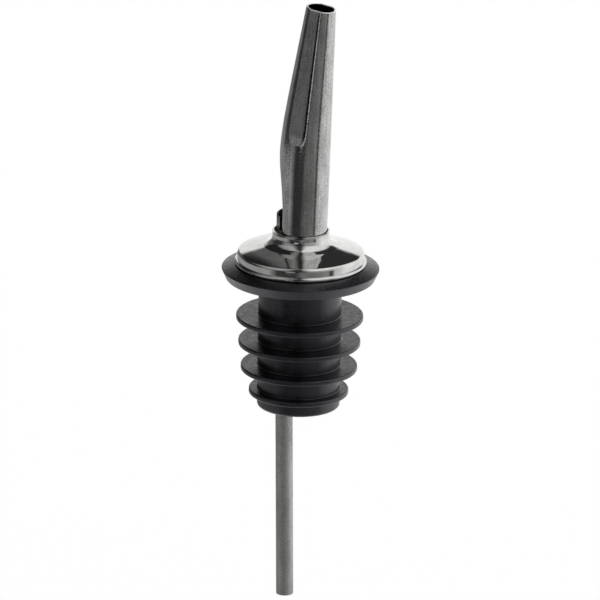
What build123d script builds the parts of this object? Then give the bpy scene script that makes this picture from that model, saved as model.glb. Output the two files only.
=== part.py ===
from build123d import *
import math
import os

os.makedirs("parts", exist_ok=True)

# A free-flow liquor pour spout. Millimetres, +Z up along the stopper's axis.
# Z = 0 is the underside of the stopper's flange, which stops on the bottle's lip.
# The spout leans towards +X, and the vent tube stands on the -X side.

# Stopper: a moulded rubber body with a flange and four fins
body_r = 8.36
body_bottom = -27.05
bore_clearance = 0.05
flange_foot_r = 14.95
flange_edge_r = 15.9
flange_edge_top = 2.05
seat_r = 13.4
seat_top = 2.95
fin_tops = (-7.7, -13.0, -18.3, -23.3)
fin_radii = (12.8, 12.3, 11.75, 10.05)
fin_edge = 1.0
fin_root = 1.5
root_fillet = 0.45
edge_fillet = 0.18
foot_fillet = 0.6

# Stem and vent: plain tubes, the vent bent slightly inside the stopper and cut
# aslant at its top, which faces -Y
stem_r = 6.35
stem_wall = 0.5
stem_bottom = -25.4
vent_r = 1.75
vent_wall = 0.3
vent_x = -3.55
vent_top = 13.07
vent_cut_degrees = 17.6
vent_bottom = -68.1
vent_bend_z = -9.0
vent_bend_degrees = 1.17
vent_bend_radius = 400.0

# Collar: a spun dome whose rolled rim holds a flat disc
sheet = 0.35
neck_r = 5.38
neck_top = 10.0
neck_foot_top = 7.75
neck_flare = 1.9
slope_foot_r = 7.6
slope_foot_top = 6.95
slope_mid_r = 10.4
slope_mid_top = 6.3
slope_crown = 16.0
slope_foot_round = 1.2
dome_r = 12.75
shoulder_top = 5.6
shoulder_round = 0.7
rim_r = 13.26
rim_height = 1.0
hem_inner_r = 11.6
hem_round = 0.5
disc_thickness = 0.8
disc_r = 12.2

# Spout: a drawn tube that tapers and leans above a soft bend
spout_r = 5.15
spout_wall = 0.4
spout_bottom = 7.3
bend_height = 29.2
bend_length = 2.8
taper = 0.078
foot_x = 0.1
foot_lean = 0.025
upper_lean = 0.108
tip_height = 56.7
tip_cut_lean_degrees = 7.7
tip_cut_side_degrees = -1.8
section_pitch = 1.5
straight_from = 41.0
cut_allowance = 3.0
dent_top = 28.0
dent_full_height = 14.0
dent_share = 0.67
dent_half_angle = 0.8
dent_side_power = 3
dent_fade_power = 2.1
outline_points = 24
tangent_step = 0.1

# Solder: the plug in the dome's neck and the ring round the stem
plug_height = 1.2
plug_depth = 0.6
ring_leg = 0.9
ring_hollow = 0.35


def past_bend(height):
    """How far a height is past the bend, eased from nothing through the bend's length."""
    return bend_length * math.log1p(math.exp((height - bend_height) / bend_length))


def spout_axis_x(height):
    """Where the spout's centreline stands at a height."""
    above_neck = max(height, neck_top) - neck_top
    return foot_x + foot_lean * above_neck + (upper_lean - foot_lean) * past_bend(height)


def dent_at(height):
    """The dent's depth as a share of the radius: whole beside the vent, gone by its top."""
    along = (height - dent_full_height) / (dent_top - dent_full_height)
    return dent_share * (1 - min(max(along, 0), 1)) ** dent_fade_power


def spout_point(angle, height):
    """A point of the outer wall. The angle is counted from -X, where the dent is."""
    turned = abs(math.remainder(angle, math.tau))
    dent = dent_at(height) * math.exp(-((turned / dent_half_angle) ** dent_side_power))
    reach = (spout_r - taper * past_bend(height)) * (1 - dent)
    return Vector(spout_axis_x(height) - reach * math.cos(angle), -reach * math.sin(angle))


def spout_outline(height, inset):
    """Points round the wall at a height, moved inwards by the inset."""
    step = math.tau / outline_points
    points = []
    for index in range(outline_points):
        before = spout_point((index - tangent_step) * step, height)
        after = spout_point((index + tangent_step) * step, height)
        along = after - before
        inwards = Vector(-along.Y, along.X).normalized()
        points.append(spout_point(index * step, height) + inwards * inset)
    return points


# Rubber stopper
with BuildPart() as stopper:
    with BuildSketch(Plane.XZ) as stopper_profile:
        with BuildLine():
            Polyline(
                (stem_r + bore_clearance, body_bottom),
                (body_r, body_bottom),
                (body_r, 0),
                (flange_foot_r, 0),
                (flange_edge_r, flange_edge_top),
                (seat_r, seat_top),
                (stem_r + bore_clearance, seat_top),
                close=True,
            )
        make_face()
        for fin_top, fin_r in zip(fin_tops, fin_radii):
            with BuildLine():
                Polyline(
                    (body_r - root_fillet, fin_top),
                    (fin_r, fin_top),
                    (fin_r, fin_top - fin_edge),
                    (body_r, fin_top - fin_root),
                    (body_r - root_fillet, fin_top - fin_root),
                    close=True,
                )
            make_face()
        wall_corners = stopper_profile.vertices().filter_by_position(Axis.X, body_r, body_r)
        foot_corner = wall_corners.sort_by(Axis.Z)[0]
        fillet(foot_corner, foot_fillet)
        wall_corners = stopper_profile.vertices().filter_by_position(Axis.X, body_r, body_r)
        fillet(wall_corners.sort_by(Axis.Z)[1:], root_fillet)
        fin_corners = stopper_profile.vertices().filter_by_position(
            Axis.X, min(fin_radii), max(fin_radii)
        )
        fillet(fin_corners, edge_fillet)
    revolve(axis=Axis.Z)
stopper.part.label = "stopper"
export_step(stopper.part, "parts/stopper.step")


# Spout tube: ruled between sections, which stand close together where the dent and bend are
section_count = round((straight_from - dent_full_height) / section_pitch)
formed = [dent_full_height + index * section_pitch for index in range(section_count + 1)]
loft_heights = [spout_bottom, neck_top, *formed, tip_height + cut_allowance]
with BuildPart() as spout_form:
    for height in loft_heights:
        with BuildSketch(Plane.XY.offset(height)):
            with BuildLine():
                Spline(*spout_outline(height, 0), periodic=True)
            make_face()
    loft(ruled=True)

with BuildPart() as spout_bore:
    for height in loft_heights:
        with BuildSketch(Plane.XY.offset(height)):
            with BuildLine():
                Spline(*spout_outline(height, spout_wall), periodic=True)
            make_face()
    loft(ruled=True)

with BuildPart() as spout_tube:
    add(spout_form.part)
    add(spout_bore.part, mode=Mode.SUBTRACT)
    tip_centre = Vector(spout_axis_x(tip_height), 0, tip_height)
    cut_normal = Vector(0, 0, 1).rotate(Axis.Y, tip_cut_lean_degrees)
    cut_normal = cut_normal.rotate(Axis.X, tip_cut_side_degrees)
    split(bisect_by=Plane(tip_centre, z_dir=cut_normal), keep=Keep.BOTTOM)
spout_tube.part.label = "spout_tube"
export_step(spout_tube.part, "parts/spout_tube.step")


# Collar dome: one sheet, drawn as its outer face and given its thickness inwards
with BuildPart() as collar_dome:
    with BuildSketch(Plane.XZ):
        with BuildLine():
            FilletPolyline(
                (hem_inner_r, seat_top),
                (dome_r, seat_top),
                (dome_r, shoulder_top),
                (slope_mid_r, slope_mid_top),
                (slope_foot_r, slope_foot_top),
                (neck_r + sheet, neck_foot_top),
                (neck_r + sheet, neck_top),
                radius=(hem_round, shoulder_round, slope_crown, slope_foot_round, neck_flare),
            )
            offset(amount=sheet, side=Side.LEFT)
        make_face()
        with Locations((rim_r - rim_height / 2, seat_top + rim_height / 2)):
            Circle(rim_height / 2)
    revolve(axis=Axis.Z)
collar_dome.part.label = "collar_dome"
export_step(collar_dome.part, "parts/collar_dome.step")


# Collar base disc: flat, lying on the hem inside the rim, with a hole for the stem
disc_bottom = seat_top + sheet
disc_top = disc_bottom + disc_thickness
with BuildPart() as collar_base_disc:
    with BuildSketch(Plane.XY.offset(disc_bottom)):
        Circle(disc_r)
        Circle(stem_r, mode=Mode.SUBTRACT)
    extrude(amount=disc_thickness)
collar_base_disc.part.label = "collar_base_disc"
export_step(collar_base_disc.part, "parts/collar_base_disc.step")


# Stem tube: open at both ends, its top just above the disc for the solder
with BuildPart() as stem_tube:
    with BuildSketch(Plane.XY.offset(stem_bottom)):
        Circle(stem_r)
        Circle(stem_r - stem_wall, mode=Mode.SUBTRACT)
    extrude(amount=disc_top + ring_leg - stem_bottom)
stem_tube.part.label = "stem_tube"
export_step(stem_tube.part, "parts/stem_tube.step")


# Stem solder: a fillet of solder in the corner between the disc's top and the stem
with BuildPart() as stem_solder:
    with BuildSketch(Plane.XZ):
        with BuildLine():
            corner = (stem_r, disc_top)
            Line((stem_r + ring_leg, disc_top), corner)
            Line(corner, (stem_r, disc_top + ring_leg))
            ThreePointArc(
                (stem_r, disc_top + ring_leg),
                (stem_r + ring_leg * ring_hollow, disc_top + ring_leg * ring_hollow),
                (stem_r + ring_leg, disc_top),
            )
        make_face()
    revolve(axis=Axis.Z)
stem_solder.part.label = "stem_solder"
export_step(stem_solder.part, "parts/stem_solder.step")


# Vent tube: upright through the neck and disc, then bent slightly inwards towards its tail
vent_foot_x = vent_x + (vent_bend_z - vent_bottom) * math.tan(math.radians(vent_bend_degrees))
with BuildPart() as vent_tube:
    with BuildLine(Plane.XZ) as vent_path:
        FilletPolyline(
            (vent_x, vent_top + cut_allowance),
            (vent_x, vent_bend_z),
            (vent_foot_x, vent_bottom),
            radius=vent_bend_radius,
        )
    with BuildSketch(Plane.XY.offset(vent_top + cut_allowance)):
        with Locations((vent_x, 0)):
            Circle(vent_r)
            Circle(vent_r - vent_wall, mode=Mode.SUBTRACT)
    sweep(path=vent_path.wires()[0])
    cut_normal = Vector(0, 0, 1).rotate(Axis.X, vent_cut_degrees)
    split(bisect_by=Plane(Vector(vent_x, 0, vent_top), z_dir=cut_normal), keep=Keep.BOTTOM)
vent_tube.part.label = "vent_tube"
export_step(vent_tube.part, "parts/vent_tube.step")


# Neck solder: fills the neck round the spout's foot and the vent tube
with BuildPart() as neck_solder:
    with BuildSketch(Plane.XY.offset(neck_top - plug_depth - plug_height)):
        Circle(neck_r)
        with Locations((vent_x, 0)):
            Circle(vent_r, mode=Mode.SUBTRACT)
    extrude(amount=plug_height)
    add(spout_form.part, mode=Mode.SUBTRACT)
neck_solder.part.label = "neck_solder"
export_step(neck_solder.part, "parts/neck_solder.step")
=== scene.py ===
import math

import bmesh
import bpy
from mathutils import Matrix, Vector


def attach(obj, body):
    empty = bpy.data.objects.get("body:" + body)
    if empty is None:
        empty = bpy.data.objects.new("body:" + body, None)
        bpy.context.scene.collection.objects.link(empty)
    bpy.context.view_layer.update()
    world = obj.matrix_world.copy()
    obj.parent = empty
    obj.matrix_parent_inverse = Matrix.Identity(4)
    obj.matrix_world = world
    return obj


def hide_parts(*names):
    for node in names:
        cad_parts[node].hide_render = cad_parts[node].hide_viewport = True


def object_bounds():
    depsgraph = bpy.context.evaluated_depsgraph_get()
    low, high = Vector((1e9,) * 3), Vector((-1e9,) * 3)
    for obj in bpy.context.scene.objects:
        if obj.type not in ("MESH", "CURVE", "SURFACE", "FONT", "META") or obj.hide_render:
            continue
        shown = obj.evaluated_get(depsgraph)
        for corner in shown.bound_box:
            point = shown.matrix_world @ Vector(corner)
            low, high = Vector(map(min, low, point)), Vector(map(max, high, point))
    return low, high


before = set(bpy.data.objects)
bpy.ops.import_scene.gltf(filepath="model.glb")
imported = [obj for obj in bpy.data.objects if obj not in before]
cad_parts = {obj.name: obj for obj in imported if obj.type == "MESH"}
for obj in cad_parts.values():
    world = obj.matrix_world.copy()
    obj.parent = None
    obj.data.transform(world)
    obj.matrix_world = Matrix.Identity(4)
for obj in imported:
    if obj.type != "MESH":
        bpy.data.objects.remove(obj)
cad_low, cad_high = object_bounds()

# Lengths below are millimetres and become metres where a mesh is made. The heights and
# radii repeat the CAD source, whose Z = 0 is the underside of the stopper's flange, apart
# from the small fillets and the details that only the visual meshes have.
MM = 0.001

# Stopper
body_r = 8.36
body_bottom = -27.05
bore_r = 6.4
flange_foot_r = 14.95
flange_edge_r = 15.9
flange_edge_top = 2.05
seat_r = 13.4
seat_top = 2.95
fin_tops = (-7.7, -13.0, -18.3, -23.3)
fin_radii = (12.8, 12.3, 11.75, 10.05)
fin_edge = 1.0
fin_root = 1.5
root_fillet = 0.2
edge_fillet = 0.26
foot_fillet = 0.6
flange_fillet = 0.14
bore_fillet = 0.12

# Vent
vent_r = 1.75
vent_wall = 0.3
vent_x = -3.55
vent_top = 13.07
vent_cut_degrees = 17.6
vent_bottom = -68.1
vent_bend_z = -9.0
vent_bend_degrees = 1.17
vent_bend_radius = 400.0
vent_round = 0.07
vent_pitch = 2.0
vent_segments = 96
# Where the painted crevice shade on the vent's side next to the spout begins in X, and how far it
# takes to fade in
crevice_shade_edge = -4.02
crevice_shade_fade = 0.1

# Collar
sheet = 0.35
neck_r = 5.38
neck_top = 10.0
neck_foot_top = 7.75
neck_flare = 1.9
neck_lip = 0.06
neck_lip_foot = 9.6
neck_lip_bend = 0.5
slope_foot_r = 7.6
slope_foot_top = 6.95
slope_mid_r = 10.4
slope_mid_top = 6.3
slope_crown = 16.0
slope_foot_round = 1.2
dome_r = 12.75
shoulder_top = 5.6
shoulder_round = 0.7
rim_r = 13.26
rim_height = 1.0
hem_inner_r = 11.6
hem_round = 0.5

# Spout
spout_r = 5.15
spout_wall = 0.4
spout_bottom = 7.3
bend_height = 29.2
bend_length = 2.8
taper = 0.078
foot_x = 0.1
foot_lean = 0.025
upper_lean = 0.108
tip_height = 56.699  # a hair under the CAD's 56.7, to stay inside its box
tip_cut_lean_degrees = 7.7
tip_cut_side_degrees = -1.8
dent_top = 28.0
dent_full_height = 14.0
dent_share = 0.67
dent_half_angle = 0.8
dent_side_power = 3
dent_fade_power = 2.1

# The shallow flats pressed into the front and back of the spout's upper part
flat_depth = 0.07
flat_bottom = 29.15
flat_rise = 3.0
flat_power = 0.7
flat_edge = 0.045
flat_side = 0.5

# Mesh fineness
lathe_segments = 256
arc_steps = 8
spout_segments = 288
coarse_pitch = 0.6
fine_pitch = 0.15
fine_from = 28.5
fine_to = 33.0
cut_blend = 4.0
rim_round = 0.1
rim_steps = 4
tip_rounds = 6
tangent_step = 0.01

# Camera
camera_azimuth = math.radians(24.85)
camera_elevation = math.radians(18.37)
camera_roll = math.radians(0.955)
camera_distance = 1.5
camera_aim_rise = 0.62 * MM
camera_lens = 447.75
camera_sight = 20

rightward = Vector((math.cos(camera_azimuth), math.sin(camera_azimuth), 0))
level_back = Vector((math.sin(camera_azimuth), -math.cos(camera_azimuth), 0))
back = level_back * math.cos(camera_elevation) + Vector((0, 0, math.sin(camera_elevation)))
upward = back.cross(rightward)
aim = Vector((0, 0, (cad_low.z + cad_high.z) / 2)) + upward * camera_aim_rise

camera = bpy.data.objects.new("camera", bpy.data.cameras.new("camera"))
bpy.context.scene.collection.objects.link(camera)
bpy.context.scene.camera = camera
camera.data.lens = camera_lens
camera.data.clip_end = camera_sight
facing = Matrix((rightward, upward, back)).transposed().to_4x4()
place = Matrix.Translation(aim + back * camera_distance)
camera.matrix_world = place @ facing @ Matrix.Rotation(camera_roll, 4, "Z")


# Node helpers
def add(tree, kind, inputs=None, **settings):
    """Adds a node, sets its properties, and fills or links its inputs."""
    made = tree.nodes.new(kind)
    for name, value in settings.items():
        setattr(made, name, value)
    for key, value in (inputs or {}).items():
        if isinstance(value, bpy.types.NodeSocket):
            tree.links.new(value, made.inputs[key])
        else:
            made.inputs[key].default_value = value
    return made


def spread(tree, value, low, high):
    """A value from 0 to 1 turned into one from low to high."""
    limits = {"Value": value, "To Min": low, "To Max": high}
    return add(tree, "ShaderNodeMapRange", limits).outputs["Result"]


def step_between(tree, value, low, high):
    """0 where the value is below low, 1 above high, and smooth between."""
    limits = {"Value": value, "From Min": low, "From Max": high}
    made = add(tree, "ShaderNodeMapRange", limits, interpolation_type="SMOOTHSTEP")
    return made.outputs["Result"]


def blend(tree, share, first, second):
    """A colour between two, each of them a socket or red, green, blue and alpha."""
    colours = {"Factor": share, 6: first, 7: second}
    return add(tree, "ShaderNodeMix", colours, data_type="RGBA").outputs[2]


# Studio light: soft boxes and dark flags round the object. Each band gives the brightness
# at directions counted in degrees from the camera's side, positive to its right. A band
# takes over from the one below it between the two elevations given with it.
under_band = ((-180, 1.0), (-90, 1.0), (-40, 0.45), (40, 0.45), (90, 1.0))
low_band = (
    (-180, 0.38), (-60, 0.38), (-43, 0.06), (-28, 0.045), (-9, 0.05), (4, 0.19), (25, 0.19),
    (44, 0.27), (52, 0.27), (56, 0.05), (60, 0.05), (65, 0.65), (90, 1.0),
)
edge_band = (
    (-180, 1.0), (-166, 1.0), (-160, 0.27), (-122, 0.27), (-112, 0.06), (-78, 0.06),
    (-70, 0.17), (-46, 0.17), (-43, 0.0), (-28, 0.0), (-25, 0.65), (-12, 0.65), (-9, 0.01),
    (-4, 0.01), (1, 0.15), (10, 0.15), (16, 0.3), (54, 0.45), (67, 0.7), (92, 1.1),
)
middle_band = (
    (-180, 1.0), (-166, 1.0), (-160, 0.2), (-120, 0.04), (-85, 0.04), (-62, 0.3), (-38, 0.3),
    (-16, 0.03), (2, 0.03), (20, 0.35), (54, 0.45), (67, 0.7), (92, 1.1),
)
high_band = (
    (-180, 0.07), (-173, 0.17), (-168, 0.12), (-163, 0.02), (-112, 0.02), (-85, 0.35),
    (-40, 0.5), (-12, 0.05), (2, 0.05), (24, 0.9), (50, 1.0), (125, 1.0), (146, 0.035),
)
bands = (
    (low_band, (-32, -24)), (edge_band, (-14.2, -12.4)),
    (middle_band, (-6, -2)), (high_band, (21, 26)),
)


def band_ramp(tree, around, band):
    """Brightness round the horizon through the band's (degrees, brightness) points."""
    ramp = add(tree, "ShaderNodeValToRGB", {"Fac": around})
    stops = ramp.color_ramp.elements
    stops.remove(stops[1])
    stops[0].position = 0
    stops[0].color = (band[0][1],) * 3 + (1,)
    for degrees, level in band[1:]:
        stop = stops.new((degrees + 180) / 360)
        stop.color = (level,) * 3 + (1,)
    return ramp.outputs["Color"]


world = bpy.data.worlds.new("studio")
bpy.context.scene.world = world
world.use_nodes = True
tree = world.node_tree
tree.nodes.clear()
direction = add(tree, "ShaderNodeTexCoord").outputs["Generated"]
to_camera = {"Vector": direction, "Angle": -camera_azimuth}
turned = add(tree, "ShaderNodeVectorRotate", to_camera, rotation_type="Z_AXIS")
parts = add(tree, "ShaderNodeSeparateXYZ", {"Vector": turned.outputs["Vector"]}).outputs
towards = add(tree, "ShaderNodeMath", {0: parts["Y"], 1: -1.0}, operation="MULTIPLY")
around = add(tree, "ShaderNodeMath", {0: parts["X"], 1: towards.outputs[0]}, operation="ARCTAN2")
circle = {"Value": around.outputs[0], "From Min": -math.pi, "From Max": math.pi}
around = add(tree, "ShaderNodeMapRange", circle).outputs["Result"]
rise = add(tree, "ShaderNodeMath", {0: parts["Z"]}, operation="ARCSINE")
rise = add(tree, "ShaderNodeMath", {0: rise.outputs[0]}, operation="DEGREES").outputs[0]
shade = band_ramp(tree, around, under_band)
for band, limits in bands:
    share = step_between(tree, rise, *limits)
    shade = blend(tree, share, shade, band_ramp(tree, around, band))
studio = add(tree, "ShaderNodeBackground", {"Color": shade, "Strength": 1.0})
white = add(tree, "ShaderNodeBackground", {"Color": (1, 1, 1, 1), "Strength": 1.0})
seen = add(tree, "ShaderNodeLightPath").outputs["Is Camera Ray"]
choice = add(tree, "ShaderNodeMixShader", {"Fac": seen, 1: studio.outputs[0], 2: white.outputs[0]})
add(tree, "ShaderNodeOutputWorld", {"Surface": choice.outputs[0]})
bpy.context.scene.view_settings.view_transform = "Standard"


# Materials
def new_material(name):
    """An empty node material with its Principled shader and output."""
    made = bpy.data.materials.new(name)
    made.use_nodes = True
    made.node_tree.nodes.clear()
    shader = add(made.node_tree, "ShaderNodeBsdfPrincipled")
    add(made.node_tree, "ShaderNodeOutputMaterial", {"Surface": shader.outputs[0]})
    return made, made.node_tree, shader


def grain(tree, size, stretch=1.0, detail=3.0, roughness=0.55):
    """Noise with features about size millimetres across, drawn out along Z."""
    place = add(tree, "ShaderNodeTexCoord").outputs["Object"]
    scaled = add(tree, "ShaderNodeMapping", {"Vector": place, "Scale": (1, 1, 1 / stretch)})
    noise = {
        "Vector": scaled.outputs["Vector"], "Scale": 1 / (size * MM),
        "Detail": detail, "Roughness": roughness,
    }
    return add(tree, "ShaderNodeTexNoise", noise).outputs["Fac"]


def bump(tree, height, depth, normal=None):
    """A bump whose full height is depth millimetres, over another one's normal if given."""
    made = add(tree, "ShaderNodeBump", {"Height": height, "Distance": depth * MM})
    if normal is not None:
        tree.links.new(normal, made.inputs["Normal"])
    return made.outputs["Normal"]


def metal(name, dark, light, smooth, rough, speck, speck_depth, line_depth, streaks=0.0):
    """Metal with cloudy colour, a fine grain, and lines left along Z by drawing.

    Streaks is how far the lines show in the colour. Lighter patches are smoother.
    """
    made, tree, shader = new_material(name)
    shader.inputs["Metallic"].default_value = 1.0
    clouds = grain(tree, 2.5, stretch=2.0, detail=4.0)
    specks = grain(tree, speck, detail=1.0)
    lines = grain(tree, 0.35, stretch=60.0)
    patches = add(tree, "ShaderNodeMath", {0: clouds, 1: specks}, operation="ADD").outputs[0]
    streak = add(tree, "ShaderNodeMath", {0: lines, 1: -0.5}, operation="ADD").outputs[0]
    streaked = {0: streak, 1: streaks, 2: patches}
    patches = add(tree, "ShaderNodeMath", streaked, operation="MULTIPLY_ADD").outputs[0]
    patches = step_between(tree, patches, 0.75, 1.25)
    colour = blend(tree, patches, (*dark, 1), (*light, 1))
    tree.links.new(colour, shader.inputs["Base Color"])
    tree.links.new(spread(tree, patches, rough, smooth), shader.inputs["Roughness"])
    normal = bump(tree, specks, speck_depth)
    normal = bump(tree, lines, line_depth, normal=normal)
    tree.links.new(normal, shader.inputs["Normal"])
    return made


gunmetal = metal(
    "gunmetal", dark=(0.35, 0.35, 0.345), light=(0.56, 0.56, 0.55), smooth=0.07, rough=0.13,
    speck=0.3, speck_depth=0.012, line_depth=0.004, streaks=0.9,
)
vent_metal = metal(
    "vent_metal", dark=(0.38, 0.38, 0.37), light=(0.5, 0.5, 0.485), smooth=0.48, rough=0.62,
    speck=0.3, speck_depth=0.008, line_depth=0.005,
)

# Painted shade in the crevice between the vent tube and the spout: above the neck's lip, the
# vent's colour turns near-black on its side next to the spout, standing in for the shadow gap
# there
crevice_shade_colour = (0.008, 0.008, 0.008, 1)
tree = vent_metal.node_tree
shader = next(node for node in tree.nodes if node.type == "BSDF_PRINCIPLED")
place = add(tree, "ShaderNodeTexCoord").outputs["Object"]
where = add(tree, "ShaderNodeSeparateXYZ", {"Vector": place}).outputs
beside = step_between(tree, where["X"], crevice_shade_edge * MM, (crevice_shade_edge + crevice_shade_fade) * MM)
above = step_between(tree, where["Z"], neck_lip_foot * MM, neck_top * MM)
share = add(tree, "ShaderNodeMath", {0: beside, 1: above}, operation="MULTIPLY").outputs[0]
plain = shader.inputs["Base Color"].links[0].from_socket
tree.links.new(blend(tree, share, plain, crevice_shade_colour), shader.inputs["Base Color"])

base_metal = metal(
    "base_metal", dark=(0.45, 0.45, 0.44), light=(0.56, 0.56, 0.55), smooth=0.25, rough=0.4,
    speck=0.5, speck_depth=0.004, line_depth=0.004,
)
chrome = metal(
    "dark_chrome", dark=(0.6, 0.6, 0.59), light=(0.68, 0.68, 0.67), smooth=0.03, rough=0.1,
    speck=1.2, speck_depth=0.004, line_depth=0.0,
)
bright = metal(
    "bright_edge", dark=(0.88, 0.88, 0.87), light=(0.95, 0.95, 0.94), smooth=0.25, rough=0.4,
    speck=0.3, speck_depth=0.004, line_depth=0.0,
)
solder = metal(
    "solder", dark=(0.3, 0.3, 0.3), light=(0.5, 0.5, 0.49), smooth=0.3, rough=0.55,
    speck=0.8, speck_depth=0.08, line_depth=0.0,
)

# Moulded rubber: near-black with a cool sheen, mottled and finely pitted
rubber, tree, shader = new_material("rubber")
clouds = grain(tree, 5.0)
specks = grain(tree, 0.12)
rubber_colour = blend(tree, clouds, (0.002, 0.002, 0.003, 1), (0.005, 0.0047, 0.0065, 1))
tree.links.new(rubber_colour, shader.inputs["Base Color"])
mottle = step_between(tree, grain(tree, 0.9, detail=5.0, roughness=0.7), 0.35, 0.65)
tree.links.new(spread(tree, mottle, 0.26, 0.39), shader.inputs["Roughness"])
tree.links.new(bump(tree, specks, 0.008), shader.inputs["Normal"])
shader.inputs["Specular IOR Level"].default_value = 0.85
shader.inputs["Specular Tint"].default_value = (0.93, 0.91, 1, 1)


# Mesh helpers
def skin(name, loops, paint, body, node, sharp_degrees=40):
    """A closed mesh over a ring of closed outlines, which replaces a CAD node."""
    count = len(loops[0])
    points = [Vector(point) * MM for loop in loops for point in loop]
    faces = []
    for turn in range(len(loops)):
        here = turn * count
        there = (turn + 1) % len(loops) * count
        for index in range(count):
            after = (index + 1) % count
            faces.append((here + index, there + index, there + after, here + after))
    mesh = bpy.data.meshes.new(name)
    mesh.from_pydata(points, [], faces)
    made = bmesh.new()
    made.from_mesh(mesh)
    bmesh.ops.recalc_face_normals(made, faces=made.faces)
    made.to_mesh(mesh)
    made.free()
    mesh.shade_smooth()
    mesh.set_sharp_from_angle(angle=math.radians(sharp_degrees))
    piece = bpy.data.objects.new(name, mesh)
    bpy.context.scene.collection.objects.link(piece)
    mesh.materials.append(paint)
    weigh = piece.modifiers.new("weighted_normals", "WEIGHTED_NORMAL")
    weigh.keep_sharp = True
    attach(piece, body)
    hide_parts(node)
    return piece


def rounded(corners, radii):
    """Profile corners, each with an arc of its radius. A corner whose radius is 0 stays."""
    points = []
    for index, (corner, radius) in enumerate(zip(corners, radii)):
        corner = Vector(corner)
        if radius == 0:
            points.append(corner)
            continue
        before = (Vector(corners[index - 1]) - corner).normalized()
        after = (Vector(corners[(index + 1) % len(corners)]) - corner).normalized()
        half = before.angle(after) / 2
        centre = corner + (before + after).normalized() * radius / math.sin(half)
        start = corner + before * radius / math.tan(half) - centre
        end = corner + after * radius / math.tan(half) - centre
        first = math.atan2(start.y, start.x)
        swing = math.remainder(math.atan2(end.y, end.x) - first, math.tau)
        for step in range(arc_steps + 1):
            angle = first + swing * step / arc_steps
            points.append(centre + Vector((math.cos(angle), math.sin(angle))) * radius)
    return points


def lathe(profile):
    """A (radius, height) profile turned about Z, as a ring of outlines."""
    loops = []
    for turn in range(lathe_segments):
        angle = math.tau * turn / lathe_segments
        loops.append([(p[0] * math.cos(angle), p[0] * math.sin(angle), p[1]) for p in profile])
    return loops


def inset_path(path, distance):
    """A path moved to its left by a distance."""
    moved = []
    for index, point in enumerate(path):
        along = path[min(index + 1, len(path) - 1)] - path[max(index - 1, 0)]
        moved.append(point + Vector((-along.y, along.x)).normalized() * distance)
    return moved


# Stopper
corners = [(bore_r, body_bottom), (body_r, body_bottom)]
radii = [bore_fillet, foot_fillet]
for top, edge_r in reversed(list(zip(fin_tops, fin_radii))):
    corners += [(body_r, top - fin_root), (edge_r, top - fin_edge), (edge_r, top), (body_r, top)]
    radii += [root_fillet, edge_fillet, edge_fillet, root_fillet]
corners += [(body_r, 0), (flange_foot_r, 0), (flange_edge_r, flange_edge_top)]
radii += [root_fillet, flange_fillet, flange_fillet]
corners += [(seat_r, seat_top), (bore_r, seat_top)]
radii += [flange_fillet, bore_fillet]
skin(
    "rubber_stopper", lathe(rounded(corners, radii)), rubber, "stopper", "stopper"
)

# Collar dome
outer_neck_r = neck_r + sheet
corners = [
    (hem_inner_r, seat_top), (dome_r, seat_top), (dome_r, shoulder_top),
    (slope_mid_r, slope_mid_top), (slope_foot_r, slope_foot_top),
    (outer_neck_r, neck_foot_top), (outer_neck_r, neck_lip_foot),
    (outer_neck_r + neck_lip, neck_top),
]
radii = [
    0, hem_round, shoulder_round, slope_crown, slope_foot_round, neck_flare, neck_lip_bend, 0,
]
face = rounded(corners, radii)
lining = inset_path(face, sheet)
bead_r = rim_height / 2
bead_centre = Vector((rim_r - bead_r, seat_top + bead_r))
bead_steps = 3 * arc_steps
bead = []
for step in range(bead_steps + 1):
    angle = math.pi * (step / bead_steps - 0.5)
    bead.append(bead_centre + Vector((math.cos(angle), math.sin(angle))) * bead_r)
above_bead = [point for point in face if point.y > seat_top + rim_height]
profile = [face[0], *bead, Vector((dome_r, seat_top + rim_height)), *above_bead, *reversed(lining)]
skin("dome", lathe(profile), chrome, "pourer", "collar_dome", sharp_degrees=50)


# Spout
def past_bend(height):
    """How far a height is past the bend, eased through the bend's length."""
    return bend_length * math.log1p(math.exp((height - bend_height) / bend_length))


def axis_x(height):
    """Where the spout's centreline stands at a height."""
    above_neck = max(height, neck_top) - neck_top
    return foot_x + foot_lean * above_neck + (upper_lean - foot_lean) * past_bend(height)


def dent_at(height):
    """The dent's depth beside the vent, as a share of the radius."""
    along = (height - dent_full_height) / (dent_top - dent_full_height)
    return dent_share * (1 - min(max(along, 0), 1)) ** dent_fade_power


def spout_reach(angle, height):
    """The outer wall's distance from the centreline. The angle counts from -X."""
    turned = abs(math.remainder(angle, math.tau))
    dent = dent_at(height) * math.exp(-((turned / dent_half_angle) ** dent_side_power))
    round_r = spout_r - taper * past_bend(height)
    lift = min(max((height - flat_bottom) / flat_rise, 0), 1)
    depth = flat_depth * (lift * (2 - lift)) ** flat_power
    facing_flat = abs(math.sin(angle))
    if facing_flat > flat_side and depth > 0:
        flat_r = round_r * (1 - depth) / facing_flat
        # The smaller of the two, with the corner between them rounded off
        edge = flat_edge * round_r
        near = max(edge - abs(flat_r - round_r), 0) / edge
        return min(flat_r, round_r) - near * near * edge / 4
    return round_r * (1 - dent)


def spout_point(angle, height):
    """A point of the outer wall."""
    reach = spout_reach(angle, height)
    return Vector((axis_x(height) - reach * math.cos(angle), -reach * math.sin(angle), height))


tip_centre = Vector((axis_x(tip_height), 0, tip_height))
tip_normal = Matrix.Rotation(math.radians(tip_cut_lean_degrees), 3, "Y") @ Vector((0, 0, 1))
tip_normal = Matrix.Rotation(math.radians(tip_cut_side_degrees), 3, "X") @ tip_normal


def tip_at(angle):
    """The height of the slanted tip at an angle round the spout."""
    height = tip_height
    for step in range(tip_rounds):
        over = spout_point(angle, height) - tip_centre
        height = tip_height - (over.x * tip_normal.x + over.y * tip_normal.y) / tip_normal.z
    return height


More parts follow.
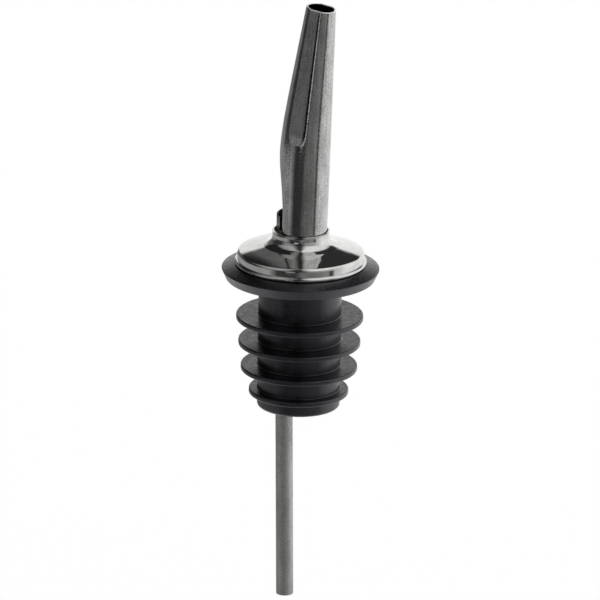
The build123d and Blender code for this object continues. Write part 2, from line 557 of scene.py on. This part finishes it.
heights = [spout_bottom]
while heights[-1] < tip_height:
    fine = fine_from < heights[-1] < fine_to
    heights.append(heights[-1] + (fine_pitch if fine else coarse_pitch))
heights[-1] = tip_height
rim_turns = [math.pi / 2 * step / rim_steps for step in range(rim_steps + 1)]
rim_path = [(rim_round * (1 - math.cos(t)), rim_round * (1 - math.sin(t))) for t in rim_turns]
rim_path += [(spout_wall - inset, drop) for inset, drop in reversed(rim_path)]
loops = []
for turn in range(spout_segments):
    angle = math.tau * turn / spout_segments
    rise_here = tip_at(angle) - tip_height
    outer = []
    inner = []
    for height in heights:
        share = min(max((height - tip_height + cut_blend) / cut_blend, 0), 1)
        level = height + rise_here * share * share * (3 - 2 * share)
        after = spout_point(angle + tangent_step, level)
        along = after - spout_point(angle - tangent_step, level)
        inwards = Vector((-along.y, along.x, 0)).normalized()
        if height == tip_height:
            base = spout_point(angle, level)
            outer += [base + inwards * inset - Vector((0, 0, drop)) for inset, drop in rim_path]
        else:
            level = min(level, tip_at(angle) - rim_round)
            outer.append(spout_point(angle, level))
            inner.append(spout_point(angle, level) + inwards * spout_wall)
    loops.append(outer + inner[::-1])
spout = skin("spout", loops, gunmetal, "pourer", "spout_tube")
# The cut rim shows bare bright metal
spout.data.materials.append(bright)
rim_first = len(heights) - 1
rim_last = rim_first + len(rim_path) - 2
per_loop = len(loops[0])
for index, polygon in enumerate(spout.data.polygons):
    if rim_first <= index % per_loop <= rim_last:
        polygon.material_index = 1


# Vent tube
def vent_centre(height):
    """The vent's centreline, upright above its bend and leaning below it."""
    lean = math.tan(math.radians(vent_bend_degrees))
    reach = vent_bend_radius * lean / 2
    below = vent_bend_z + reach - height
    if below < 0:
        return vent_x, 0.0
    if below < 2 * reach:
        return vent_x + below * below / (2 * vent_bend_radius), below / vent_bend_radius
    return vent_x + (vent_bend_z - height) * lean, lean


vent_slope = math.tan(math.radians(vent_cut_degrees))
vent_heights = [vent_top, vent_top - vent_round]
vent_steps = int((vent_top - vent_bottom) / vent_pitch)
vent_heights += [vent_top - vent_pitch * step for step in range(1, vent_steps + 1)]
vent_heights += [vent_bottom + vent_round, vent_bottom]
loops = []
for turn in range(vent_segments):
    angle = math.tau * turn / vent_segments
    across = Vector((math.cos(angle), math.sin(angle), 0))
    outer = []
    inner = []
    for height in vent_heights:
        x, lean = vent_centre(height)
        centre = Vector((x, 0, height))
        trim = vent_round if height in (vent_top, vent_bottom) else 0
        for radius, side in ((vent_r - trim, outer), (vent_r - vent_wall + trim, inner)):
            arm = across * radius
            # Outlines lie square to the tube, but the top two follow the slanted cut
            arm.z = arm.x * lean if height < vent_heights[1] else arm.y * vent_slope
            side.append(centre + arm)
    loops.append(outer + inner[::-1])
skin("vent", loops, vent_metal, "pourer", "vent_tube")

# CAD pieces that keep their shape
for node, paint in (
    ("stem_tube", base_metal), ("collar_base_disc", base_metal),
    ("neck_solder", solder), ("stem_solder", solder),
):
    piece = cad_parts[node]
    piece.data.materials.clear()
    piece.data.materials.append(paint)

# Floor: pale, far enough below to stay out of the object's reflections
floor_drop = 0.9
floor_size = 12.0
floor_grey = 0.85
floor_glow = 0.6
floor_mesh = bpy.data.meshes.new("floor")
floor_z = cad_low.z - floor_drop
square = ((-1, -1), (1, -1), (1, 1), (-1, 1))
corners = [(x * floor_size / 2, y * floor_size / 2, floor_z) for x, y in square]
floor_mesh.from_pydata(corners, [], [(0, 1, 2, 3)])
floor = bpy.data.objects.new("floor", floor_mesh)
bpy.context.scene.collection.objects.link(floor)
floor_paint, tree, shader = new_material("floor")
shader.inputs["Base Color"].default_value = (floor_grey, floor_grey, floor_grey, 1)
shader.inputs["Emission Color"].default_value = (1, 1, 1, 1)
shader.inputs["Emission Strength"].default_value = floor_glow
floor_mesh.materials.append(floor_paint)
floor.visible_glossy = False
floor.visible_diffuse = False
